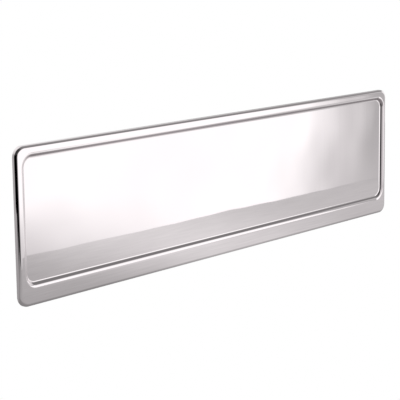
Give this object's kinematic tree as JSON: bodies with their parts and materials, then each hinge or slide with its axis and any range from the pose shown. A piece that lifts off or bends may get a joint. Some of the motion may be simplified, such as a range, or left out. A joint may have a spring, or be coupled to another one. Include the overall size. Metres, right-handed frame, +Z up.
{
  "type": "door letter plate",
  "caption": "Slim polished letter plate: a pressed cover flap with a recessed panel, sprung and hinged along its top edge in front of a back plate with the letter opening.",
  "frame": {"origin": "midway between the two fixing posts, in the plane of the door's outer face", "axes": "+X along the plate's length, to the right seen from outside the door; +Z up; the front looks along -Y"},
  "size_m": [0.312, 0.016, 0.078],
  "materials": {
    "polished": "mirror polished",
    "zinc_steel": "zinc plated, dull",
    "hinge_steel": "satin",
    "pin_steel": "smooth",
    "spring_steel": "drawn wire",
    "rivet": "satin",
    "screw_steel": "zinc plated",
    "post_zinc": "zinc plated",
    "foam": "matt closed-cell foam",
    "seal": "matt",
    "buffer_rubber": "matt",
    "black_plastic": "fine texture",
    "nylon": "natural"
  },
  "bodies": {
    "chassis": {"back_plate": "zinc_steel", "rear_gasket": "foam", "draught_seal": "seal", "aperture_liner": "black_plastic", "liner_screws": "screw_steel", "hinge_bracket_left": "hinge_steel", "hinge_bracket_right": "hinge_steel", "bracket_rivets": "rivet", "hinge_pin_left": "pin_steel", "hinge_pin_right": "pin_steel", "pin_clip_left": "spring_steel", "pin_clip_right": "spring_steel", "hinge_washers": "nylon", "closing_spring_left": "spring_steel", "closing_spring_right": "spring_steel", "fixing_post_left": "post_zinc", "fixing_post_right": "post_zinc", "flap_buffers": "buffer_rubber"},
    "flap": {"cover_flap": "polished", "hinge_leaf_left": "hinge_steel", "hinge_leaf_right": "hinge_steel"}
  },
  "joints": [
    {"name": "flap_hinge", "type": "hinge", "parent": "chassis", "child": "flap", "pos_m": [0, -0.0032, 0.0362], "axis": [-1, 0, 0], "range_deg": [0, 85], "stiffness_Nm_per_rad": 0.04, "springref_deg": -68.75, "deforming": ["closing_spring_left", "closing_spring_right"]}
  ]
}
